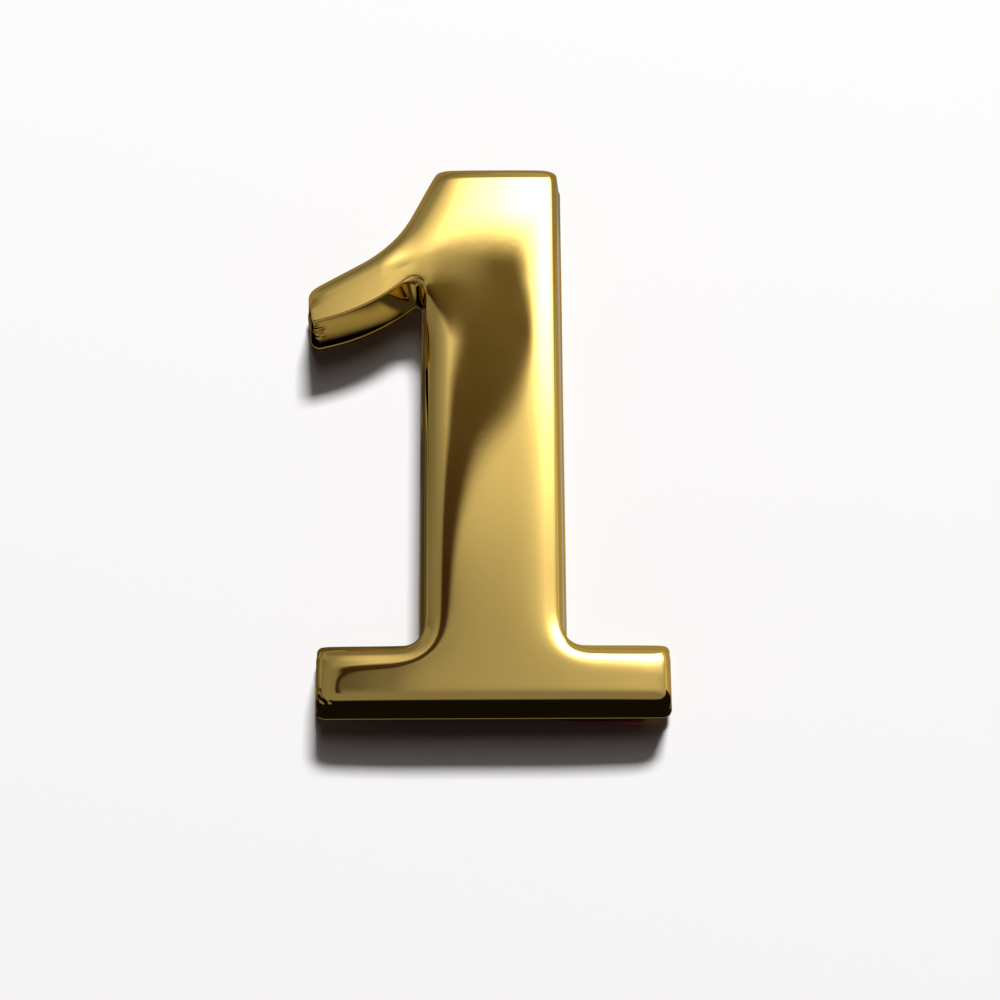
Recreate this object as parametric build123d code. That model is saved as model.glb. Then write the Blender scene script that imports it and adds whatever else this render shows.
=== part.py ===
from build123d import *
import os
from math import cos, radians, sin, tan

# A self-adhesive door number, the figure 1: a plated plastic moulding, hollow and ribbed at the back, on two
# strips of foam tape with peel-off liners. Millimetres, +Z up the door, front towards -Y, +X to the viewer's
# right. The origin is on the face that goes to the door, on the figure's centre line and at half its height.

# The figure's outline, measured at its back rim
HEIGHT = 50.0                 # foot to top
STEM_WIDTH = 12.9
FOOT_WIDTH = 30.9
FOOT_HEIGHT = 6.05
TOP_LEFT_INSET = 1.25         # stem's left side in to the left end of the level top
FLAG_BEND_REACH = 2.7         # stem's left side out to the bend in the flag's upper edge
FLAG_BEND_DROP = 7.75         # top down to that bend
FLAG_BEND_RADIUS = 10.0       # hollow curve there
FLAG_REACH = 10.6             # stem's left side out to the flag's outer upper corner
FLAG_TIP_DROP = 4.3           # bend down to that corner
FLAG_TIP_LENGTH = 4.3         # length of the flag's end
FLAG_TIP_LEAN = 7.6           # degrees that the end leans in under the upper corner
FLAG_JOIN_DROP = 3.8          # bend down to where the flag's lower edge meets the stem
FLAG_BELLY_REACH = 4.05       # stem's left side out to the bulge in the lower edge
FLAG_BELLY_DROP = 3.25        # meeting point down to the bulge
FLAG_JOIN_STRAIGHT = 1.065    # lower edge left straight between the stem and the bulge
FLAG_TIP_STRAIGHT = 0.5       # lower edge left straight between the bulge and the tip's round corner

# The moulding's section
THICKNESS = 6.3               # rim to front face
DRAFT = 5.0                   # degrees, side walls towards the front
EDGE_RADIUS = 1.5             # round shoulder along the front edge and round outer corners
BRACKET_RADIUS = 1.2          # inner corners, where stem, foot and flag meet
WALL = 1.8                    # side wall at the rim
RIB = 1.4
FACE_WALL = 2.2               # plastic left behind the front face
POCKET_DRAFT = 3.0            # degrees, moulded pockets in the back
STEM_ROWS = 4                 # pockets up each side of the stem's centre rib
FLAG_SOLID_TIP = 4.65         # flag left solid past the end of its pocket

# Adhesive strips and their liners
TAPE_THICKNESS = 1.0
LINER_THICKNESS = 0.15
LINER_MARGIN = 0.8            # liner past the tape, all round
STEM_TAPE_SIDE = 1.25         # stem's side to the strip
STEM_TAPE_TOP = 4.0           # figure's top to the strip
STEM_TAPE_CLEAR = 6.95        # foot's upper edge to the strip
FOOT_TAPE_END = 3.05          # foot's end to the strip
FOOT_TAPE_WIDTH = 3.0
FOOT_TAPE_RISE = 2.8          # strip's middle above the foot's lower edge
FOOT_TAPE_SKEW = 4.0          # degrees that the strip was stuck on out of level, right end low

BOTTOM = -HEIGHT / 2
TOP = HEIGHT / 2
DOOR_PLANE = Plane.XZ
TAPE_PLANE = DOOR_PLANE.offset(LINER_THICKNESS)
RIM_PLANE = TAPE_PLANE.offset(TAPE_THICKNESS)


def figure_corners():
    """Sharp corners of the outline at the rim, as (x, z), by name."""
    stem, foot, foot_top = STEM_WIDTH / 2, FOOT_WIDTH / 2, BOTTOM + FOOT_HEIGHT
    bend_z = TOP - FLAG_BEND_DROP
    join_z = bend_z - FLAG_JOIN_DROP
    tip_x, tip_top = -stem - FLAG_REACH, bend_z - FLAG_TIP_DROP
    tip_in = FLAG_TIP_LENGTH * sin(radians(FLAG_TIP_LEAN))
    tip_down = FLAG_TIP_LENGTH * cos(radians(FLAG_TIP_LEAN))
    return {
        "foot_left": (-foot, BOTTOM),
        "foot_right": (foot, BOTTOM),
        "foot_right_top": (foot, foot_top),
        "bracket_right": (stem, foot_top),
        "top_right": (stem, TOP),
        "top_left": (-stem + TOP_LEFT_INSET, TOP),
        "flag_bend": (-stem - FLAG_BEND_REACH, bend_z),
        "tip_upper": (tip_x, tip_top),
        "tip_lower": (tip_x + tip_in, tip_top - tip_down),
        "flag_belly": (-stem - FLAG_BELLY_REACH, join_z - FLAG_BELLY_DROP),
        "flag_join": (-stem, join_z),
        "bracket_left": (-stem, foot_top),
        "foot_left_top": (-foot, foot_top),
    }


INNER_CORNERS = ("bracket_right", "bracket_left", "flag_join")
OUTER_CORNERS = (
    "foot_left", "foot_right", "foot_right_top", "foot_left_top",
    "top_right", "top_left", "tip_upper", "tip_lower",
)


def belly_radius(corner):
    """Radius of the bulge that leaves the flag's lower edge straight for the named lengths at its ends."""
    tip, belly, join = (Vector(*corner[name]) for name in ("tip_lower", "flag_belly", "flag_join"))
    tip_run = (belly - tip).length - EDGE_RADIUS - FLAG_TIP_STRAIGHT
    join_run = (join - belly).length - FLAG_JOIN_STRAIGHT
    turn = radians((belly - tip).get_angle(join - belly))
    return min(tip_run, join_run) / tan(turn / 2)


def figure_outline(corner):
    """Face of the outline at the rim, with sharp corners, in the plane of X and Z."""
    right_side = Polyline(
        corner["foot_left"], corner["foot_right"], corner["foot_right_top"], corner["bracket_right"],
        corner["top_right"], corner["top_left"],
    )
    flag_upper = FilletPolyline(
        corner["top_left"], corner["flag_bend"], corner["tip_upper"], radius=FLAG_BEND_RADIUS
    )
    flag_end = Line(corner["tip_upper"], corner["tip_lower"])
    flag_lower = FilletPolyline(
        corner["tip_lower"], corner["flag_belly"], corner["flag_join"], radius=belly_radius(corner)
    )
    left_side = Polyline(
        corner["flag_join"], corner["bracket_left"], corner["foot_left_top"], corner["foot_left"]
    )
    return make_face([right_side, flag_upper, flag_end, flag_lower, left_side])


def corner_edges(solid, corner, names):
    """Edges that run from the rim to the front at the named corners of the outline."""
    rim_y = RIM_PLANE.origin.Y
    rising = [edge for edge in solid.edges() if edge.bounding_box().size.Y > THICKNESS / 2]
    found = []
    for name in names:
        x, z = corner[name]
        at_rim = Vertex(x, rim_y, z)
        found.append(min(rising, key=at_rim.distance_to))
    return found


def pocket_bays():
    """Rectangles that the back's pockets keep to, as (x from, x to, z from, z to), with ribs between."""
    inner = STEM_WIDTH / 2 - WALL
    row = (HEIGHT - 2 * WALL - (STEM_ROWS - 1) * RIB) / STEM_ROWS
    bays = []
    for index in range(STEM_ROWS):
        low = BOTTOM + WALL + index * (row + RIB)
        bays.append((-inner, -RIB / 2, low, low + row))
        bays.append((RIB / 2, inner, low, low + row))
    foot = (BOTTOM, BOTTOM + FOOT_HEIGHT)
    bays.append((-FOOT_WIDTH / 2, -inner - RIB, *foot))
    bays.append((inner + RIB, FOOT_WIDTH / 2, *foot))
    flag_end = STEM_WIDTH / 2 + FLAG_REACH - FLAG_SOLID_TIP
    bays.append((-flag_end, -inner - RIB, BOTTOM + FOOT_HEIGHT, TOP))
    return bays


def numeral():
    """The moulding: drafted walls, round shoulder, and pockets in the back with ribs between them."""
    corner = figure_corners()
    rim_face = figure_outline(corner)
    body = extrude(RIM_PLANE * rim_face, amount=THICKNESS, taper=DRAFT)
    body = fillet(corner_edges(body, corner, INNER_CORNERS), BRACKET_RADIUS)
    front = body.faces().sort_by(Axis.Y)[0]
    body = fillet(corner_edges(body, corner, OUTER_CORNERS) + front.edges(), EDGE_RADIUS)

    straight_sided = make_face(Polyline(*corner.values(), close=True))
    inside = offset(straight_sided, amount=-WALL, kind=Kind.INTERSECTION)
    for x_low, x_high, z_low, z_high in pocket_bays():
        bay = Pos((x_low + x_high) / 2, (z_low + z_high) / 2) * Rectangle(x_high - x_low, z_high - z_low)
        pocket = RIM_PLANE * (inside & bay)
        body -= extrude(pocket, amount=THICKNESS - FACE_WALL, taper=POCKET_DRAFT)
    return body


def strip(width, height, thickness, plane, middle_z, skew):
    """A flat rectangular strip standing on a plane parallel to the door, centred on the centre line."""
    sheet = Pos(0, middle_z) * Rot(0, 0, -skew) * Rectangle(width, height)
    return extrude(plane * sheet, amount=thickness)


def adhesive(width, height, middle_z, skew=0.0):
    """One tape strip and its liner, face to face, as (tape, liner)."""
    tape = strip(width, height, TAPE_THICKNESS, TAPE_PLANE, middle_z, skew)
    liner_width = width + 2 * LINER_MARGIN
    liner_height = height + 2 * LINER_MARGIN
    liner = strip(liner_width, liner_height, LINER_THICKNESS, DOOR_PLANE, middle_z, skew)
    return tape, liner


stem_tape_top = TOP - STEM_TAPE_TOP
stem_tape_bottom = BOTTOM + FOOT_HEIGHT + STEM_TAPE_CLEAR
stem_tape, stem_liner = adhesive(
    STEM_WIDTH - 2 * STEM_TAPE_SIDE, stem_tape_top - stem_tape_bottom, (stem_tape_top + stem_tape_bottom) / 2
)
foot_tape, foot_liner = adhesive(
    FOOT_WIDTH - 2 * FOOT_TAPE_END, FOOT_TAPE_WIDTH, BOTTOM + FOOT_TAPE_RISE, FOOT_TAPE_SKEW
)

nodes = {
    "numeral": numeral(),
    "foam_tape_stem": stem_tape,
    "foam_tape_foot": foot_tape,
    "release_liner_stem": stem_liner,
    "release_liner_foot": foot_liner,
}

os.makedirs("parts", exist_ok=True)
for name, solid in nodes.items():
    export_step(solid, f"parts/{name}.step")
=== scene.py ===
from math import cos, erfc, pi, radians, sin, sqrt, tan

import bmesh
import bpy
import numpy as np
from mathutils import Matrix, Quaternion, Vector
from mathutils.geometry import delaunay_2d_cdt


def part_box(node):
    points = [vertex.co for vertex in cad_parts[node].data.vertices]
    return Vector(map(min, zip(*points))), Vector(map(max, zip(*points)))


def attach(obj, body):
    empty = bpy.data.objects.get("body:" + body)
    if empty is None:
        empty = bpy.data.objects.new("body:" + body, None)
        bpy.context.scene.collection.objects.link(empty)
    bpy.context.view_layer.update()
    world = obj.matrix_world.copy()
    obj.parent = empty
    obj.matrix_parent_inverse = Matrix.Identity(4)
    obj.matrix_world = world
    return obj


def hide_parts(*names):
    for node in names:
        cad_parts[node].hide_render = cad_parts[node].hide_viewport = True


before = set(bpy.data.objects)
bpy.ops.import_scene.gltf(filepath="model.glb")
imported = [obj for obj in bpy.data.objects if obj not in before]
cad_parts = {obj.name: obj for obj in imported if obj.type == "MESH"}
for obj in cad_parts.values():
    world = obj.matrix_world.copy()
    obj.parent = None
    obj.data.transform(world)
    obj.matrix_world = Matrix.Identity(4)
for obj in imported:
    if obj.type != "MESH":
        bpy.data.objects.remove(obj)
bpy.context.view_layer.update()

MM = 0.001

# The figure's outline at its rim, in millimetres as in the solid that it stands for
HEIGHT = 50.0
STEM_WIDTH = 12.9
FOOT_WIDTH = 30.9
FOOT_HEIGHT = 6.05
TOP_LEFT_INSET = 1.25         # stem's left side in to the left end of the level top
FLAG_BEND_REACH = 2.7         # stem's left side out to the bend in the flag's upper edge
FLAG_BEND_DROP = 7.75         # top down to that bend
FLAG_BEND_RADIUS = 10.0
FLAG_REACH = 10.6             # stem's left side out to the flag's outer upper corner
FLAG_TIP_DROP = 4.3           # bend down to that corner
FLAG_TIP_LENGTH = 4.3
FLAG_TIP_LEAN = 7.6           # degrees that the flag's end leans in
FLAG_JOIN_DROP = 3.8          # bend down to where the flag's lower edge meets the stem
FLAG_BELLY_REACH = 4.05       # stem's left side out to the bulge in the lower edge
FLAG_BELLY_DROP = 3.25        # meeting point down to the bulge
FLAG_BELLY_RADIUS = 18.2

# The moulding's section
THICKNESS = 6.3               # rim to front
DRAFT = radians(5.0)
CORNER_RADIUS = 0.9           # outer corners at the rim
BRACKET_RADIUS = 1.2          # inner corners
JOIN_RADIUS = 0.45            # the one under the flag, at the rim
JOIN_FLARE = 1.6              # and its growth towards the front, for each millimetre in
TIP_RADIUS = 1.5              # flag's outer upper corner
RIM_ROUND = 0.1               # worn edge of the rim
LIP_HEIGHT = 0.25             # fine lip left by the mould along the rim
LIP = 0.07                    # and how far it stands out
LIP_SHARES = (0.25, 0.75)     # rings on the lip's slope, as shares of it
SHOULDER_BLEND = 0.15         # softness where wall and front meet
WALL_TOP = 3.4                # wall is plain up to here
FRONT_INSET = 1.6             # rings end and the front's grid begins this far in
RIM_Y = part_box("numeral")[1].y / MM

# The front's fall to its edges: depths with their reach, and the shares of those depths by place
FALL = ((3.5, 0.65), (0.7, 1.1), (0.53, 2.4), (3.5, 0.22))
BODY_FALL = (1.0, 1.0, 1.0, 0.0)          # stem and foot
FLAG_UPPER_FALL = (1.0, 0.15, 0.15, 0.0)  # flag's upper half
FLAG_LOWER_FALL = (0.0, 0.03, 0.08, 1.0)  # flag's lower half, where the shoulder is tight
FLAG_MIDDLE = (18.7, 0.472)   # height of the line between those halves at x = 0, and its slope
FLAG_MIDDLE_HALF = 0.5        # half the width over which one changes to the other
FLAG_FROM = -6.5              # x where the flag's own front begins: flatter, and tilted a little to its tip
FLAG_TURN = 3.5               # length over which the front changes there
FLAG_TILT = 0.044
FLAG_LOWER_FROM = 7.5         # height on the stem's side where its tight lower shoulder begins
FLAG_LOWER_TURN = 5.5
FLAG_LOWER_END = (0.5, -5.5)  # x over which that shoulder comes in across the stem
FOOT_FROM = 5.5               # from the centre line to where the foot's arms begin to tilt to their ends
FOOT_TURN = 3.0
FOOT_TILT = 0.03

# The mesh
POINT_SPACING = 0.25          # along straight edges
FRONT_SPACING = 0.2           # over the front
CORNER_STEPS = 14             # round each corner
CURVE_STEPS = 36              # along the flag's three curves
WALL_RINGS = 8
SHOULDER_RINGS = 28
RIM_STEPS = 6
PROFILE_STEPS = 400           # to space the shoulder's rings evenly
BATCH = 2000                  # points worked out at a time
WELD = 1e-4                   # points this near are one
LEAST_ROUND = 0.08            # corners of the inner rings and of the floor's opening
EXPONENT_LIMIT = 60.0
NO_WALL = 60.0                # height given to the wall over the front's grid, well above the front
SHARP_ANGLE = radians(30.0)
SKIN = 1                      # the skin's place among the numeral's materials
INSIDE = 1                    # the kind of triangulation that stays within its loops
SAME_POINT = 1e-7

# The photograph's view
VIEW_AIM = (0.0, -4.65, 0.0)
VIEW_DISTANCE = 170.0
VIEW_ELEVATION = radians(-17.0)
VIEW_ROLL = radians(-0.25)
VIEW_LENS = 69.14
VIEW_SHIFT = (0.0077, -0.0686)
VIEW_CLIP = (0.01, 10.0)      # metres

# The stage and its light
FLOOR_Y = 0.1 * MM
FLOOR_RADIUS = 120.0
FLOOR_SIDES = 96
FLOOR_OPENING = 1.3           # the sheet ends this far inside the outline, so that light reaches the back
FLOOR_COLOUR = (0.9, 0.9, 0.9, 1.0)
FLOOR_PAINTED_REFLECTION = (1.0, 0.93, 0.80, 1.0)  # painted reflection: the colour the floor glows with for the metal in place of its lit look, at the painted levels below
# Painted light and shade in the floor's reflection across x: dark beside the stem's left side as painted
# shadow, brighter to the right as painted light
PAINTED_FLOOR_LEVELS_ACROSS = (
    (-80, 0.35), (-35, 0.27), (-18, 0.09), (-12, 0.13), (-8, 0.04),
    (-4, 0.04), (4, 0.42), (20, 0.38), (50, 0.7), (80, 0.7),
)                             # (x in millimetres, level)
FLAG_RIM = (
    (-18, 8.5), (-16.5, 8.7), (-13, 9.55), (-11.8, 10.0), (-10, 11.0), (-8, 12.5), (-6, 13.6),
)                             # (x, height) along the flag's lower rim
FLAG_RIM_SPAN = (8.0, 14.0)
# Painted shadow under the flag: the reflected floor is dark close to the flag's lower rim and lightens
# further below
PAINTED_SHADOW_BELOW_FLAG = (
    (-10, 0.3), (-6, 0.3), (-4, 0.0), (1.2, 0.0), (1.75, 0.12), (2.5, 0.27), (4, 0.33), (6, 0.33),
)                             # (millimetres below that rim, level)
FLAG_SHADOW_SIDE = (-6.9 * MM, -7.6 * MM)  # x over which the painted shadow below the flag takes over and the millimetres below its rim over which it does
FLAG_SHADOW_NEAR = (5.0, 3.0)        # and the millimetres below its rim over which they do
PAINTED_LEVEL_ABOVE_TOP = 0.3             # painted level of the reflected floor past the figure's top
FLOOR_TOP = (19.0 * MM, 24.0 * MM)
PAINTED_DARK_PAST_FOOT = 0.006            # painted shade: the reflected floor goes dark past its foot
FLOOR_END = (-22.5 * MM, -24.8 * MM)
AMBIENT = 0.018
AMBIENT_COLOUR = (1.0, 0.66, 0.64, 1.0)
LAMP_DISTANCE = 2000.0
KEY_FROM = (0.125, -0.80, 0.59)  # towards the key lamp, a window
KEY_SIZE = (390.0, 250.0)
KEY_LEVEL = 0.865             # of a white sheet lit by it
SOFT_FROM = (0.05, -0.914, 0.407)  # towards the rest of the room, weak and wide
SOFT_SIZE = (500.0, 780.0)
SOFT_LEVEL = 0.085
SOFT_COLOUR = (1.0, 0.92, 0.88)
FILL_FROM = (0.3, 0.9, 0.35)  # towards a lamp behind, for views of the back
FILL_STRENGTH = 1.6
FILL_ANGLE = radians(60.0)

# The room that the metal shows, set to follow the photograph: levels and angles, each as (degrees, value)
# Azimuth goes to the right and rise goes up, in degrees, as seen from the figure
LEVEL_SPAN = (0.0, 1.0)       # lowest and highest value in a curve of levels
WINDOW_SPAN = (0.0, 6.0)
MIDDLE_SPAN = (-20.0, 20.0)
WIDTH_SPAN = (0.0, 10.0)
LOW_ROOM = (
    (-90, 0.19), (-40, 0.24), (-18, 0.22), (-13, 0.12), (-7, 0.20), (-5, 0.29),
    (1, 0.45), (6, 0.55), (14, 0.62), (25, 0.60), (90, 0.42),
)
LOW_ROOM_FADE = (-2.0, -40.0)  # rise over which it goes to one even level
LOW_ROOM_END = 0.25
HIGH_ROOM = (
    (-90, 0.17), (-40, 0.23), (-18, 0.34), (-13, 0.41), (-10, 0.57),
    (-8, 0.78), (-6, 0.87), (60, 0.85), (90, 0.55),
)
HIGH_ROOM_RISE = (11.0, 18.0)
WINDOW_RISE = ((8, 0.6), (12.5, 1.0), (16, 1.9), (18.5, 3.7), (20, 5.0), (23, 6.0), (60, 6.0))
WINDOW_LEFT = (1.5, 18.0)     # azimuth over which the window opens
WINDOW_RIGHT = (95.0, 50.0)
WINDOW_SILL = (7.0, 11.0)     # and the rise
WINDOW_OVER = ((-30, 0.28), (-18, 0.35), (-8, 0.87), (-4, 1.9), (0, 3.8), (6, 6.0), (90, 6.0))
OVER_RISE = (21.8, 25.0)      # where the window's upper part begins
OVER_RIGHT = (88.0, 45.0)
TOP_RISE = (40.0, 53.0)       # where the dark above it begins
TOP_ACROSS = (-25.0, 15.0)
TOP_LEVELS = (0.2, 0.42)
SHAPE_COLOUR = (0.125, 0.103, 0.06, 1.0)  # the dark shape that the stem mirrors
SHAPE_DEEP = (0.04, 0.024, 0.018, 1.0)
SHAPE_COLOUR_RISE = (12.0, 22.0)
SHAPE_SOFT = (1.5, 2.6)       # half the width of its soft edge, low and high
SHAPE_SOFT_RISE = (14.0, 19.0)
SHAPE_MIDDLE = (
    (-40, -16.5), (0, -16.2), (5, -15.6), (10, -12.6), (12.5, -10.9),
    (15.5, -6.9), (18.5, -1.5), (20.5, 1.5), (23, 1.5),
)
SHAPE_HALF_WIDTH = (
    (-40, 1.5), (-20, 2.0), (8, 1.6), (10, 1.8), (12.5, 3.7),
    (14.5, 4.4), (16.5, 4.6), (19.5, 6.2), (21.5, 3.6), (23, 2.8),
)
SHAPE_TOP = (23.5, 22.0)
SHAPE_FOOT = (-36.0, -24.0)
EDGE_ON = (-0.09, 0.02)       # part of the direction that goes away from the viewer
EDGE_ON_RISE = (-10.0, -40.0)
BEHIND = (0.05, 0.3)          # the same, where the room behind begins
BEHIND_RISE = (-40.0, 60.0)
BEHIND_LEVELS = (0.35, 0.9)
BEHIND_ACROSS = (-0.4, 0.1)   # part of the direction that goes right
BEHIND_SHARES = (0.4, 1.0)
NO_BOUNCE = 0.5               # depths under this count as none

# The plating
GOLD_DEEP = (0.88, 0.60, 0.165, 1.0)
GOLD_PALE = (0.92, 0.64, 0.18, 1.0)
GOLD_GRAZING = (1.0, 0.82, 0.42, 1.0)
GOLD_CLOUD = 180.0            # scale of the noise, here and below
CLOUD_DETAIL = 3.0
CLOUD_SPAN = (0.3, 0.7)       # noise over which the roughness goes from least to most
BACK_ROUGHNESS = (0.34, 0.08)  # and how far it drifts
SKIN_ROUGHNESS = (0.045, 0.01)
PEEL_SCALE = 1400.0
PEEL_DETAIL = 2.0
PEEL_DEPTH = 0.0004           # millimetres
BEAD_SCALE = 1100.0
BEAD_DETAIL = 1.0
BEAD_MIDDLE = 0.5
MOTTLE_DEPTH = 0.4            # millimetres
MOTTLED = (
    ((-16.4, -5.0, 9.4), 1.0, 2.0), ((-15.0, -5.0, -24.0), 1.2, 2.3), ((-15.2, -6.0, -19.6), 0.6, 1.5),
)                             # corners where the plating is rough: place, and distances where that fades
MOTTLED_ENDS = (14.5 * MM, 15.2 * MM)  # from the centre line, where the foot's ends begin
MOTTLED_LOW = (-10.0 * MM, -15.0 * MM)
MOTTLED_ENDS_SHARE = 0.4

# The foam and the liner
FOAM_DEEP = (0.70, 0.70, 0.67, 1.0)
FOAM_PALE = (0.86, 0.86, 0.83, 1.0)
FOAM_CLOUD = 300.0
FOAM_CELLS = 4500.0
FOAM_BUMP = 0.6
FOAM_BUMP_DEPTH = 0.05        # millimetres
FOAM_ROUGHNESS = 0.85
LINER_DEEP = (0.38, 0.01, 0.03, 1.0)
LINER_PALE = (0.52, 0.02, 0.05, 1.0)
LINER_CLOUD = 250.0
LINER_WRINKLE = 120.0
LINER_BUMP = 0.5
LINER_BUMP_DEPTH = 0.2        # millimetres
LINER_ROUGHNESS = 0.28


def outline_corners():
    """Sharp corners of the outline at the rim, as (x, z), going round with the plastic on the left."""
    stem, foot, bottom, top = STEM_WIDTH / 2, FOOT_WIDTH / 2, -HEIGHT / 2, HEIGHT / 2
    foot_top = bottom + FOOT_HEIGHT
    bend_z = top - FLAG_BEND_DROP
    join_z = bend_z - FLAG_JOIN_DROP
    tip_x, tip_z = -stem - FLAG_REACH, bend_z - FLAG_TIP_DROP
    lean_x = FLAG_TIP_LENGTH * sin(radians(FLAG_TIP_LEAN))
    lean_z = FLAG_TIP_LENGTH * cos(radians(FLAG_TIP_LEAN))
    return {
        "foot_left": (-foot, bottom),
        "foot_right": (foot, bottom),
        "foot_right_top": (foot, foot_top),
        "bracket_right": (stem, foot_top),
        "top_right": (stem, top),
        "top_left": (-stem + TOP_LEFT_INSET, top),
        "flag_bend": (-stem - FLAG_BEND_REACH, bend_z),
        "tip_upper": (tip_x, tip_z),
        "tip_lower": (tip_x + lean_x, tip_z - lean_z),
        "flag_belly": (-stem - FLAG_BELLY_REACH, join_z - FLAG_BELLY_DROP),
        "flag_join": (-stem, join_z),
        "bracket_left": (-stem, foot_top),
        "foot_left_top": (-foot, foot_top),
    }


CORNERS = outline_corners()
NAMES = list(CORNERS)
CURVES = ("flag_bend", "flag_belly", "flag_join")


def unit(vectors):
    return vectors / np.linalg.norm(vectors, axis=-1, keepdims=True)


def inward(directions):
    return np.stack([-directions[..., 1], directions[..., 0]], axis=-1)


def turned(start, end, steps):
    """Unit vectors from start towards end in equal angles, the end left out."""
    angle = np.arctan2(start[0] * end[1] - start[1] * end[0], start @ end)
    angles = np.arange(steps) / steps * angle
    across = inward(start)
    return np.cos(angles)[:, None] * start + np.sin(angles)[:, None] * across


def outline(inset, corner_round, bracket_round, join_round):
    """Points of the rounded outline moved in by inset, and the inward direction at each."""
    corners = np.array([CORNERS[name] for name in NAMES])
    arriving = inward(unit(corners - np.roll(corners, 1, axis=0)))
    leaving = np.roll(arriving, -1, axis=0)
    mitre = (arriving + leaving) / (1 + (arriving * leaving).sum(1, keepdims=True))
    corners = corners + inset * mitre
    lengths = {"flag_bend": -FLAG_BEND_RADIUS - inset, "flag_belly": FLAG_BELLY_RADIUS - inset}
    lengths["bracket_right"] = lengths["bracket_left"] = -bracket_round
    lengths["flag_join"] = -join_round
    lengths["tip_upper"] = corner_round + TIP_RADIUS - CORNER_RADIUS
    radius = np.array([lengths.get(name, corner_round) for name in NAMES])
    centre = corners + radius[:, None] * mitre
    start, end = arriving.copy(), leaving.copy()

    belly, join = NAMES.index("flag_belly"), NAMES.index("flag_join")
    reach = radius[belly] + join_round
    join_x = corners[join, 0] - join_round
    centre[join] = join_x, centre[belly, 1] - sqrt(reach ** 2 - (join_x - centre[belly, 0]) ** 2)
    end[belly] = start[join] = unit(centre[belly] - centre[join])

    points, directions = [], []
    for i, name in enumerate(NAMES):
        steps = CURVE_STEPS if name in CURVES else CORNER_STEPS
        arc = turned(start[i], end[i], steps)
        points.append(centre[i] - radius[i] * arc)
        directions.append(arc)
        if i == belly:
            continue
        after = (i + 1) % len(NAMES)
        sharp = np.array([CORNERS[NAMES[after]], CORNERS[name]])
        steps = max(2, int(np.linalg.norm(sharp[0] - sharp[1]) / POINT_SPACING))
        share = (np.arange(steps) / steps)[:, None]
        here, there = centre[i] - radius[i] * end[i], centre[after] - radius[after] * start[after]
        points.append(here + share * (there - here))
        directions.append(np.repeat(end[i][None], steps, axis=0))
    return np.concatenate(points), np.concatenate(directions)


def wall_rings():
    """The rim and plain wall, as (inset, height, tilt of the surface towards the front)."""
    rings = []
    for angle in np.linspace(-pi / 2, DRAFT, RIM_STEPS):
        rings.append((RIM_ROUND * (1 - cos(angle)), RIM_ROUND * (1 + sin(angle)), angle))
    rings.append((LIP_HEIGHT * tan(DRAFT), LIP_HEIGHT, DRAFT))
    for share in LIP_SHARES:
        rings.append((LIP_HEIGHT * tan(DRAFT) + share * LIP, LIP_HEIGHT + share * LIP, pi / 4))
    for height in np.linspace(LIP_HEIGHT + LIP, WALL_TOP, WALL_RINGS):
        rings.append((LIP + height * tan(DRAFT), height, DRAFT))
    return rings


def lower_of(wall, front):
    """The lower of two heights, blended where they meet, and the front's share in it."""
    share = 1 / (1 + np.exp(np.clip((front - wall) / SHOULDER_BLEND, -EXPONENT_LIMIT, EXPONENT_LIMIT)))
    lower = np.minimum(wall, front)
    return lower - SHOULDER_BLEND * np.log1p(np.exp(-np.abs(front - wall) / SHOULDER_BLEND)), share


def shoulder_insets():
    """Insets of the shoulder's rings, evenly spaced along its curve where the edge is straight."""
    inset = np.linspace(LIP + WALL_TOP * tan(DRAFT), FRONT_INSET, PROFILE_STEPS)
    sunk = np.zeros(PROFILE_STEPS)
    for (depth, reach), share in zip(FALL, BODY_FALL):
        sunk += share * depth * np.array([erfc(d / (reach * sqrt(2))) for d in inset]) / 2
    height = lower_of((inset - LIP) / tan(DRAFT), THICKNESS - sunk)[0]
    run = np.concatenate([[0.0], np.cumsum(np.hypot(np.diff(inset), np.diff(height)))])
    return np.interp(np.linspace(0, run[-1], SHOULDER_RINGS + 1)[1:], run, inset)


def smooth(share):
    return share ** 2 * (3 - 2 * share)


def smooth_rate(share):
    return 6 * share * (1 - share)


def tilts(points):
    """How far the flag and the foot's arms sink as they tilt to their ends, and the slope of that along x."""
    x, z = points[:, 0], points[:, 1]
    flag = np.where(z > 0, (FLAG_FROM - x) / FLAG_TURN, 0)
    flag_turn = np.clip(flag, 0, 1)
    arm = np.where(z < 0, (np.abs(x) - FOOT_FROM) / FOOT_TURN, 0)
    arm_turn = np.clip(arm, 0, 1)
    sunk = FLAG_TILT * FLAG_TURN * (flag_turn ** 2 / 2 + np.maximum(flag - 1, 0))
    sunk += FOOT_TILT * FOOT_TURN * (arm_turn ** 2 / 2 + np.maximum(arm - 1, 0))
    return sunk, -FLAG_TILT * flag_turn + FOOT_TILT * arm_turn * np.sign(x)


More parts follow.
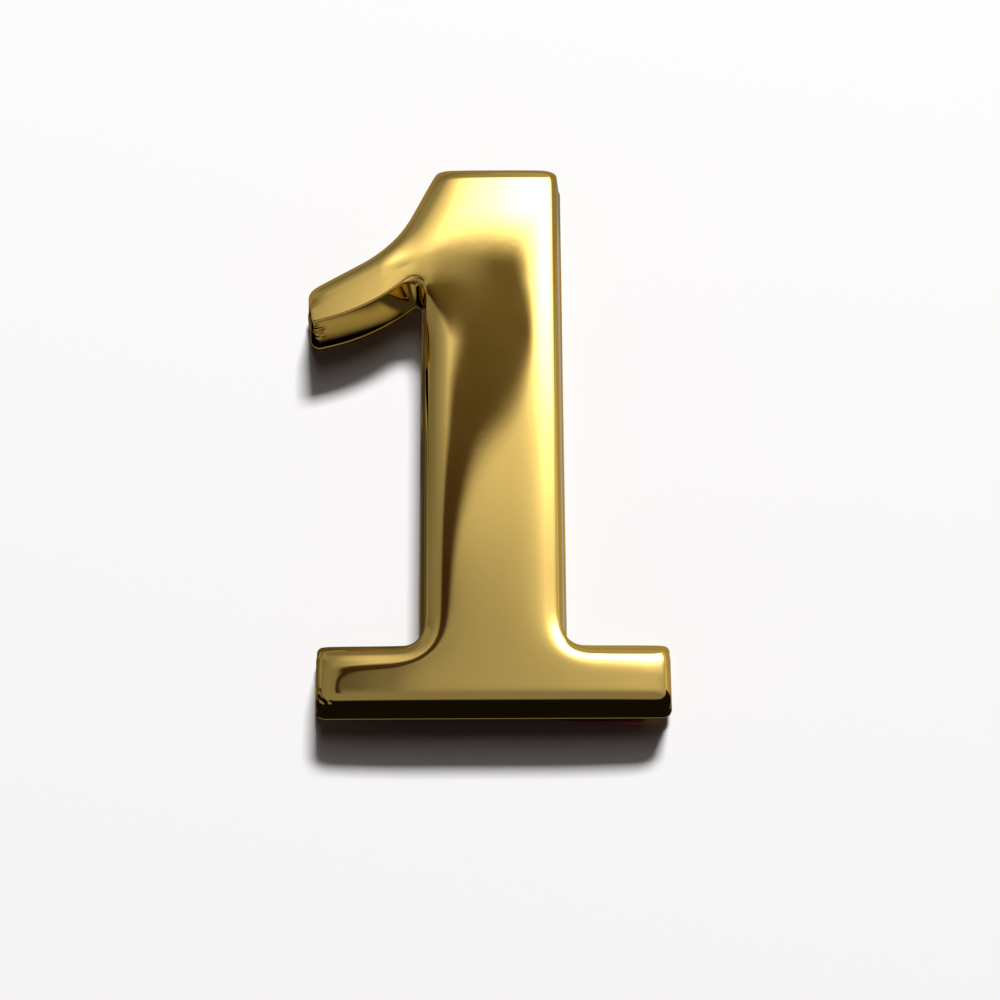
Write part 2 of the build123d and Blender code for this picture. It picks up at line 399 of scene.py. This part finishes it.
def flag_change(points):
    """Each point's share in the flag's lower half, its share in the flag's front, and the slope of that."""
    x, z = points[:, 0], points[:, 1]
    below = FLAG_MIDDLE[0] + FLAG_MIDDLE[1] * x - z
    below = np.clip((below + FLAG_MIDDLE_HALF) / (2 * FLAG_MIDDLE_HALF), 0, 1)
    turn = np.clip(np.where(z > 0, (FLAG_FROM - x) / FLAG_TURN, 0), 0, 1)
    upper_slope = np.stack([-smooth_rate(turn) / FLAG_TURN, np.zeros(len(turn))], axis=1)
    rise = np.clip((z - FLAG_LOWER_FROM) / FLAG_LOWER_TURN, 0, 1)
    rise = np.where(x < FLAG_FROM, 1, rise)
    run = FLAG_LOWER_END[1] - FLAG_LOWER_END[0]
    side = np.where(z > 0, np.clip((x - FLAG_LOWER_END[0]) / run, 0, 1), 0)
    along_x = smooth(rise) * smooth_rate(side) / run
    along_z = smooth(side) * smooth_rate(rise) / FLAG_LOWER_TURN
    change = below * smooth(rise) * smooth(side) + (1 - below) * smooth(turn)
    slope = below[:, None] * np.stack([along_x, along_z], axis=1) + (1 - below)[:, None] * upper_slope
    return below, change, slope


def fall(points, rim, rim_inward):
    """How far the front sinks at each point, and its slope, from the outline blurred over each reach."""
    ahead = np.roll(rim, -1, axis=0) - rim
    behind = rim - np.roll(rim, 1, axis=0)
    length = (np.linalg.norm(ahead, axis=1) + np.linalg.norm(behind, axis=1)) / 2
    outward = -rim_inward * length[:, None]
    sunk, slope = np.zeros(len(points)), np.zeros((len(points), 2))
    for first in range(0, len(points), BATCH):
        part = slice(first, first + BATCH)
        away = rim[None] - points[part, None]
        square = (away ** 2).sum(2)
        across = (away * outward[None]).sum(2) / np.maximum(square, WELD ** 2)
        sunk[part], slope[part, 0] = tilts(points[part])
        below, change, change_slope = flag_change(points[part])
        for (depth, reach), body, upper, lower in zip(FALL, BODY_FALL, FLAG_UPPER_FALL, FLAG_LOWER_FALL):
            blur = np.exp(-square / (2 * reach ** 2))
            gain = depth * (upper + (lower - upper) * below - body)
            weight = depth * body + gain * change
            missing = 1 - (across * (1 - blur)).sum(1) / (2 * pi)
            sunk[part] += weight * missing
            slope[part] += weight[:, None] * (blur @ outward) / (2 * pi * reach ** 2)
            slope[part] += (gain * missing)[:, None] * change_slope
    return sunk, slope


def inside(points, loop):
    """Whether each point lies within the closed loop."""
    a, b = loop, np.roll(loop, -1, axis=0)
    x, z = points[:, :1], points[:, 1:]
    spans = (a[None, :, 1] > z) != (b[None, :, 1] > z)
    rise = np.where(b[:, 1] == a[:, 1], 1, b[:, 1] - a[:, 1])
    cross = a[None, :, 0] + (z - a[None, :, 1]) / rise[None] * (b - a)[None, :, 0]
    return (spans & (x < cross)).sum(1) % 2 == 1


def triangles(loops, loose):
    """All points of the closed loops and loose sets, and triangles over them that keep the loops' edges."""
    edges, first = [], 0
    for loop in loops:
        edges += [(first + i, first + (i + 1) % len(loop)) for i in range(len(loop))]
        first += len(loop)
    points = np.concatenate(loops + loose)
    made = delaunay_2d_cdt([Vector(p) for p in points], edges, [], INSIDE, SAME_POINT)
    faces, origins = made[2:4]
    order = np.array([origin[0] for origin in origins])
    return points, order[np.array(faces)]


def front_fill(loop):
    """Points over the front inside its edge loop, in staggered rows, and the triangles that cover it."""
    low, high = loop.min(0), loop.max(0)
    row_step = FRONT_SPACING * sqrt(3) / 2
    rows = np.arange(low[1], high[1], row_step)
    grid = [
        (x, z)
        for index, z in enumerate(rows)
        for x in np.arange(low[0] + (index % 2) * FRONT_SPACING / 2, high[0], FRONT_SPACING)
    ]
    grid = np.array(grid)
    grid = grid[inside(grid, loop)]
    sides = np.roll(loop, -1, axis=0) - loop
    nearest = []
    for point in grid:
        along = np.clip(((point - loop) * sides).sum(1) / (sides ** 2).sum(1), 0, 1)
        nearest.append(np.linalg.norm(loop + along[:, None] * sides - point, axis=1).min())
    grid = grid[np.array(nearest) > FRONT_SPACING / 2]
    return grid, triangles([loop], [grid])[1]


def pocket_mesh():
    """The pockets moulded into the back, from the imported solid, with their mouths open at the rim."""
    mesh = bmesh.new()
    mesh.from_mesh(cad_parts["numeral"].data)
    bmesh.ops.remove_doubles(mesh, verts=mesh.verts, dist=WELD * MM)
    rim = [f for f in mesh.faces if all(abs(v.co.y / MM - RIM_Y) < WELD for v in f.verts)]
    bmesh.ops.delete(mesh, geom=rim, context="FACES_ONLY")
    skin = {min(mesh.verts, key=lambda v: v.co.y)}
    edge = list(skin)
    while edge:
        found = {e.other_vert(v) for v in edge for e in v.link_edges if e.link_faces} - skin
        skin |= found
        edge = list(found)
    bmesh.ops.delete(mesh, geom=list(skin), context="VERTS")
    loose = [e for e in mesh.edges if not e.link_faces]
    bmesh.ops.delete(mesh, geom=loose, context="EDGES")
    for v in mesh.verts:
        v.co /= MM
    return mesh


def skin_shape():
    """The skin's points as (x, z), ring by ring and then over the front, with their heights and normals, the
    number of points in a ring, the number of rings and the front's triangles."""
    walls, insets = wall_rings(), shoulder_insets()
    rim, rim_inward = outline(0.0, CORNER_RADIUS, BRACKET_RADIUS, JOIN_RADIUS)
    count = len(rim)
    loops = []
    for inset in [ring[0] for ring in walls] + list(insets):
        corner_round = max(CORNER_RADIUS - inset, LEAST_ROUND)
        loops.append(outline(inset, corner_round, BRACKET_RADIUS + inset, JOIN_RADIUS + JOIN_FLARE * inset))
    grid, front_faces = front_fill(loops[-1][0])
    flat = np.concatenate([points for points, _ in loops] + [grid])

    outward = np.concatenate([-directions for _, directions in loops[:len(walls)]])
    tilt = np.repeat([ring[2] for ring in walls], count)[:, None]
    wall_normal = np.concatenate([np.cos(tilt) * outward, np.sin(tilt)], axis=1)
    sunk, slope = fall(flat[len(walls) * count:], rim, rim_inward)
    wall = np.concatenate([np.repeat(insets - LIP, count) / tan(DRAFT), np.full(len(grid), NO_WALL)])
    inwards = np.concatenate([directions for _, directions in loops[len(walls):]] + [np.zeros_like(grid)])
    front, share = lower_of(wall, THICKNESS - sunk)
    rising = share[:, None] * -slope + (1 - share)[:, None] * inwards / tan(DRAFT)
    front_normal = unit(np.concatenate([-rising, np.ones((len(rising), 1))], axis=1))
    height = np.concatenate([np.repeat([ring[1] for ring in walls], count), front])
    height *= THICKNESS / height.max()
    normal = np.concatenate([wall_normal, front_normal])
    normal = np.stack([normal[:, 0], -normal[:, 2], normal[:, 1]], axis=1)
    return flat, height, normal, count, len(loops), front_faces


def closed_mesh(flat, height, count, rings, front_faces):
    """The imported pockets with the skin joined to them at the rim, and the skin's vertices."""
    mesh = pocket_mesh()
    mouths = [e for e in mesh.edges if e.is_boundary]
    skin = [mesh.verts.new((x, RIM_Y - up, z)) for (x, z), up in zip(flat, height)]
    rim_edges = [mesh.edges.new((skin[i], skin[(i + 1) % count])) for i in range(count)]
    bmesh.ops.triangle_fill(mesh, use_beauty=True, edges=mouths + rim_edges, normal=(0, 1, 0))
    for ring in range(rings - 1):
        low, high = ring * count, (ring + 1) * count
        for i in range(count):
            j = (i + 1) % count
            face = mesh.faces.new((skin[low + i], skin[low + j], skin[high + j], skin[high + i]))
            face.material_index = SKIN
    top = (rings - 1) * count
    for a, b, c in front_faces:
        face = mesh.faces.new((skin[top + a], skin[top + b], skin[top + c]))
        face.material_index = SKIN
    bmesh.ops.recalc_face_normals(mesh, faces=mesh.faces)
    return mesh, skin


def make_numeral():
    """The moulding with round shoulders and a slightly crowned front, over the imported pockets."""
    flat, height, normal, count, rings, front_faces = skin_shape()
    mesh, skin = closed_mesh(flat, height, count, rings, front_faces)
    mesh.verts.index_update()
    skin_index = np.array([v.index for v in skin])
    data = bpy.data.meshes.new("gold_numeral")
    mesh.to_mesh(data)
    mesh.free()
    data.transform(((MM, 0, 0, 0), (0, MM, 0, 0), (0, 0, MM, 0), (0, 0, 0, 1)))
    data.polygons.foreach_set("use_smooth", [True] * len(data.polygons))
    data.set_sharp_from_angle(angle=SHARP_ANGLE)
    corner_normals = np.array([n.vector for n in data.corner_normals])
    by_vertex = np.zeros((len(data.vertices), 3))
    by_vertex[skin_index] = normal
    on_skin = np.concatenate([[p.material_index == SKIN] * p.loop_total for p in data.polygons])
    vertex = np.array([loop.vertex_index for loop in data.loops])
    corner_normals[on_skin] = by_vertex[vertex[on_skin]]
    data.normals_split_custom_set(corner_normals)
    piece = bpy.data.objects.new("gold_numeral", data)
    bpy.context.scene.collection.objects.link(piece)
    return piece


def node_maker(tree):
    """A short way to add nodes to a tree: kind, then values and links in its sockets' order."""
    def add(kind, *inputs, out=0, **settings):
        node = tree.nodes.new("ShaderNode" + kind)
        for key, value in settings.items():
            setattr(node, key, value)
        for socket, value in enumerate(inputs):
            if isinstance(value, bpy.types.NodeSocket):
                tree.links.new(value, node.inputs[socket])
            elif value is not None:
                node.inputs[socket].default_value = value
        return None if out is None else node.outputs[out]
    return add


def new_material(name):
    material = bpy.data.materials.new(name)
    material.use_nodes = True
    tree = material.node_tree
    return material, tree, tree.nodes["Principled BSDF"]


def soft_step(add, value, low, high, bottom=0.0, top=1.0):
    """Smooth change from bottom to top while the value goes from low to high."""
    return add("MapRange", value, low, high, bottom, top, interpolation_type="SMOOTHSTEP")


def blend(add, share, first, second):
    """Colour between two others, each a socket or a colour."""
    sockets = [share, None, None, None, None, None, first, second]
    return add("Mix", *sockets, out=2, data_type="RGBA")


def times(add, first, second):
    return add("Math", first, second, operation="MULTIPLY")


def mix(add, share, first, second):
    """Level between two others, each a socket or a number."""
    return add("Mix", share, None, first, second)


def curve(add, value, points, span):
    """A smooth curve through (place, value) points, with values inside the span."""
    low, high = span
    first, last = points[0][0], points[-1][0]
    line = add("FloatCurve", 1.0, add("MapRange", value, first, last, 0.0, 1.0))
    mapping = line.node.mapping
    ends = mapping.curves[0].points
    for index, (x, y) in enumerate(points):
        place = (x - first) / (last - first), (y - low) / (high - low)
        if index == 0:
            ends[0].location = place
        elif index == len(points) - 1:
            ends[-1].location = place
        else:
            ends.new(*place)
    for point in ends:
        point.handle_type = "AUTO_CLAMPED"
    mapping.update()
    return add("MapRange", line, 0.0, 1.0, low, high)


def grey(level):
    return (level, level, level, 1.0)


def make_world():
    """A room of soft shapes for the metal to show, even weak light for the rest, and a white backdrop."""
    world = bpy.data.worlds.new("studio")
    world.use_nodes = True
    world.cycles.sampling_method = "NONE"
    bpy.context.scene.world = world
    tree = world.node_tree
    tree.nodes.clear()
    add = node_maker(tree)
    direction = add("TexCoord")
    parts = add("SeparateXYZ", direction).node.outputs
    right, away, up = parts["X"], parts["Y"], parts["Z"]
    toward = times(add, away, -1.0)
    azimuth = add("Math", add("Math", right, toward, operation="ARCTAN2"), operation="DEGREES")
    rise = add("Math", add("Math", up, operation="ARCSINE"), operation="DEGREES")

    low_room = curve(add, azimuth, LOW_ROOM, LEVEL_SPAN)
    low_room = mix(add, soft_step(add, rise, *LOW_ROOM_FADE), low_room, LOW_ROOM_END)
    high_room = curve(add, azimuth, HIGH_ROOM, LEVEL_SPAN)
    level = mix(add, soft_step(add, rise, *HIGH_ROOM_RISE), low_room, high_room)

    window = curve(add, rise, WINDOW_RISE, WINDOW_SPAN)
    open_side = times(add, soft_step(add, azimuth, *WINDOW_LEFT), soft_step(add, azimuth, *WINDOW_RIGHT))
    open_side = times(add, open_side, soft_step(add, rise, *WINDOW_SILL))
    level = mix(add, open_side, level, window)
    over = times(add, soft_step(add, rise, *OVER_RISE), soft_step(add, azimuth, *OVER_RIGHT))
    level = mix(add, over, level, curve(add, azimuth, WINDOW_OVER, WINDOW_SPAN))
    top = soft_step(add, azimuth, *TOP_ACROSS, *TOP_LEVELS)
    level = mix(add, soft_step(add, rise, *TOP_RISE), level, top)

    middle = curve(add, rise, SHAPE_MIDDLE, MIDDLE_SPAN)
    half = curve(add, rise, SHAPE_HALF_WIDTH, WIDTH_SPAN)
    off = add("Math", add("Math", azimuth, middle, operation="SUBTRACT"), operation="ABSOLUTE")
    outer = soft_step(add, rise, *SHAPE_SOFT_RISE, *SHAPE_SOFT)
    inner = times(add, outer, -1.0)
    shape = soft_step(add, add("Math", off, half, operation="SUBTRACT"), outer, inner)
    shape = times(add, shape, soft_step(add, rise, *SHAPE_TOP))
    shape = times(add, shape, soft_step(add, rise, *SHAPE_FOOT))
    dark = blend(add, soft_step(add, rise, *SHAPE_COLOUR_RISE), SHAPE_DEEP, SHAPE_COLOUR)
    colour = blend(add, shape, level, dark)

    edge_on = times(add, soft_step(add, away, *EDGE_ON), soft_step(add, rise, *EDGE_ON_RISE))
    colour = blend(add, edge_on, colour, SHAPE_DEEP)
    behind = soft_step(add, rise, *BEHIND_RISE, *BEHIND_LEVELS)
    behind = times(add, behind, soft_step(add, right, *BEHIND_ACROSS, *BEHIND_SHARES))
    colour = blend(add, soft_step(add, away, *BEHIND), colour, behind)

    seen = add("Background", colour, 1.0)
    ambient = add("Background", AMBIENT_COLOUR, AMBIENT)
    white = add("Background", grey(1.0), 1.0)
    path = add("LightPath").node.outputs
    backdrop = add("Math", path["Is Camera Ray"], path["Is Transmission Ray"], operation="MAXIMUM")
    direct = add("Math", path["Diffuse Depth"], NO_BOUNCE, operation="LESS_THAN")
    shown = times(add, path["Is Glossy Ray"], direct)
    room_light = add("MixShader", shown, ambient, seen)
    add("OutputWorld", add("MixShader", backdrop, room_light, white), out=None)


def add_sun(name, direction, strength, angle):
    """A soft distant lamp that shines along a direction and isn't seen in the metal."""
    data = bpy.data.lights.new(name, "SUN")
    data.energy = strength
    data.angle = angle
    lamp = bpy.data.objects.new(name, data)
    lamp.rotation_mode = "QUATERNION"
    lamp.rotation_quaternion = Vector(direction).to_track_quat("-Z", "Y")
    lamp.visible_glossy = False
    bpy.context.scene.collection.objects.link(lamp)


def add_window(name, direction, distance, size, level, colour=(1.0, 1.0, 1.0)):
    """A soft rectangular lamp that lights a white sheet at the origin to a level, unseen in the metal."""
    data = bpy.data.lights.new(name, "AREA")
    data.shape = "RECTANGLE"
    data.size, data.size_y = size[0] * MM, size[1] * MM
    data.color = colour
    toward = Vector(direction).normalized()
    slant = -toward.y
    data.energy = level * (distance * MM) ** 2 * pi ** 2 / (slant * FLOOR_COLOUR[0])
    lamp = bpy.data.objects.new(name, data)
    lamp.location = toward * distance * MM
    lamp.rotation_mode = "QUATERNION"
    lamp.rotation_quaternion = (-toward).to_track_quat("-Z", "Y")
    lamp.visible_glossy = False
    bpy.context.scene.collection.objects.link(lamp)


def make_floor():
    """The white sheet that the figure lies on, open under it, and seen from its front only; to all but camera
    rays it glows as a painted reflection of itself, with painted light and shade set by place.
    """
    angles = np.arange(FLOOR_SIDES) / FLOOR_SIDES * 2 * pi
    rim = FLOOR_RADIUS * np.stack([np.cos(angles), np.sin(angles)], axis=1)
    opening = outline(FLOOR_OPENING, LEAST_ROUND, BRACKET_RADIUS, BRACKET_RADIUS)[0]
    points, faces = triangles([rim, opening], [])
    faces = faces[~inside(points[faces].mean(1), opening)]
    data = bpy.data.meshes.new("floor")
    data.from_pydata([(x * MM, FLOOR_Y, z * MM) for x, z in points], [], faces.tolist())
    floor = bpy.data.objects.new("floor", data)
    bpy.context.scene.collection.objects.link(floor)

    material = bpy.data.materials.new("floor")
    material.use_nodes = True
    tree = material.node_tree
    tree.nodes.clear()
    add = node_maker(tree)
    # Painted reflection levels by place: painted shade beside the stem's left side, a painted shadow under
    # the flag, a set level past the top and painted dark past the foot
    across, _, height = add("SeparateXYZ", add("NewGeometry", out="Position")).node.outputs
    across_mm, height_mm = times(add, across, 1 / MM), times(add, height, 1 / MM)
    level = curve(add, across_mm, PAINTED_FLOOR_LEVELS_ACROSS, LEVEL_SPAN)
    below = add("Math", curve(add, across_mm, FLAG_RIM, FLAG_RIM_SPAN), height_mm, operation="SUBTRACT")
    flag_shadow_share = times(add, soft_step(add, across, *FLAG_SHADOW_SIDE), soft_step(add, below, *FLAG_SHADOW_NEAR))
    level = mix(add, flag_shadow_share, level, curve(add, below, PAINTED_SHADOW_BELOW_FLAG, LEVEL_SPAN))
    level = mix(add, soft_step(add, height, *FLOOR_TOP), level, PAINTED_LEVEL_ABOVE_TOP)
    level = mix(add, soft_step(add, height, *FLOOR_END), level, PAINTED_DARK_PAST_FOOT)
    # The metal and other rays see the painted glow, the camera sees the lamp-lit sheet
    painted_reflection, lit = add("Emission", FLOOR_PAINTED_REFLECTION, level), add("BsdfDiffuse", FLOOR_COLOUR)
    sheet = add("MixShader", add("LightPath", out="Is Camera Ray"), painted_reflection, lit)
    reverse = add("NewGeometry", out="Backfacing")
    add("OutputMaterial", add("MixShader", reverse, sheet, add("BsdfTransparent")), out=None)
    material.cycles.emission_sampling = "NONE"
    data.materials.append(material)


def clouded(add, place, scale, deep, pale):
    """Noise in soft clouds, and a colour that drifts with it."""
    cloud = add("TexNoise", place, None, scale, CLOUD_DETAIL)
    return cloud, blend(add, cloud, deep, pale)


def gold(name, roughness, spread):
    """Bright gold plating: a fine orange peel, drifting roughness and colour, and a few rough corners."""
    material, tree, shader = new_material(name)
    add = node_maker(tree)
    place = add("TexCoord", out="Object")
    cloud, colour = clouded(add, place, GOLD_CLOUD, GOLD_DEEP, GOLD_PALE)
    rough = soft_step(add, cloud, *CLOUD_SPAN, roughness - spread, roughness + spread)
    peel = add("TexNoise", place, None, PEEL_SCALE, PEEL_DETAIL)
    bump = add("Bump", 1.0, PEEL_DEPTH * MM, None, peel)
    across, _, height = add("SeparateXYZ", place).node.outputs
    from_centre = add("Math", across, operation="ABSOLUTE")
    ends = soft_step(add, from_centre, *MOTTLED_ENDS, 0.0, MOTTLED_ENDS_SHARE)
    rough_here = times(add, ends, soft_step(add, height, *MOTTLED_LOW))
    for spot, inner, outer in MOTTLED:
        away = add("VectorMath", place, [c * MM for c in spot], out="Value", operation="DISTANCE")
        near = soft_step(add, away, outer * MM, inner * MM)
        rough_here = add("Math", rough_here, near, operation="MAXIMUM")
    beads = add("TexNoise", place, None, BEAD_SCALE, BEAD_DETAIL)
    beads = add("Math", beads, BEAD_MIDDLE, operation="SUBTRACT")
    bump = add("Bump", 1.0, MOTTLE_DEPTH * MM, None, times(add, beads, rough_here), bump)
    tree.links.new(colour, shader.inputs["Base Color"])
    tree.links.new(rough, shader.inputs["Roughness"])
    tree.links.new(bump, shader.inputs["Normal"])
    shader.inputs["Metallic"].default_value = 1.0
    shader.inputs["Specular Tint"].default_value = GOLD_GRAZING
    return material


def foam():
    """White closed-cell foam: fine round cells and a slight unevenness in the colour."""
    material, tree, shader = new_material("foam")
    add = node_maker(tree)
    place = add("TexCoord", out="Object")
    cells = add("TexVoronoi", place, None, FOAM_CELLS)
    colour = clouded(add, place, FOAM_CLOUD, FOAM_DEEP, FOAM_PALE)[1]
    bump = add("Bump", FOAM_BUMP, FOAM_BUMP_DEPTH * MM, None, cells)
    tree.links.new(colour, shader.inputs["Base Color"])
    tree.links.new(bump, shader.inputs["Normal"])
    shader.inputs["Roughness"].default_value = FOAM_ROUGHNESS
    return material


def liner():
    """Red release film: glossy, with long shallow wrinkles and a little unevenness in its red."""
    material, tree, shader = new_material("liner")
    add = node_maker(tree)
    place = add("TexCoord", out="Object")
    colour = clouded(add, place, LINER_CLOUD, LINER_DEEP, LINER_PALE)[1]
    wrinkle = add("TexNoise", place, None, LINER_WRINKLE, CLOUD_DETAIL)
    bump = add("Bump", LINER_BUMP, LINER_BUMP_DEPTH * MM, None, wrinkle)
    tree.links.new(colour, shader.inputs["Base Color"])
    tree.links.new(bump, shader.inputs["Normal"])
    shader.inputs["Roughness"].default_value = LINER_ROUGHNESS
    return material


def make_camera():
    data = bpy.data.cameras.new("camera")
    data.lens = VIEW_LENS
    data.shift_x, data.shift_y = VIEW_SHIFT
    data.clip_start, data.clip_end = VIEW_CLIP
    camera = bpy.data.objects.new("camera", data)
    bpy.context.scene.collection.objects.link(camera)
    back = Vector((0.0, -cos(VIEW_ELEVATION), sin(VIEW_ELEVATION)))
    camera.location = (Vector(VIEW_AIM) + back * VIEW_DISTANCE) * MM
    camera.rotation_mode = "QUATERNION"
    camera.rotation_quaternion = (-back).to_track_quat("-Z", "Y") @ Quaternion((0, 0, 1), VIEW_ROLL)
    bpy.context.scene.camera = camera


numeral = make_numeral()
numeral.data.materials.append(gold("gold_back", *BACK_ROUGHNESS))
numeral.data.materials.append(gold("gold_skin", *SKIN_ROUGHNESS))
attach(numeral, "root")
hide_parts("numeral")
foam_look, liner_look = foam(), liner()
for name in ("foam_tape_stem", "foam_tape_foot"):
    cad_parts[name].data.materials[0] = foam_look
for name in ("release_liner_stem", "release_liner_foot"):
    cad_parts[name].data.materials[0] = liner_look
make_floor()
make_world()
add_window("key", KEY_FROM, LAMP_DISTANCE, KEY_SIZE, KEY_LEVEL)
add_window("soft", SOFT_FROM, LAMP_DISTANCE, SOFT_SIZE, SOFT_LEVEL, SOFT_COLOUR)
add_sun("fill", -Vector(FILL_FROM), FILL_STRENGTH, FILL_ANGLE)
make_camera()

bpy.context.scene.view_settings.view_transform = "Standard"
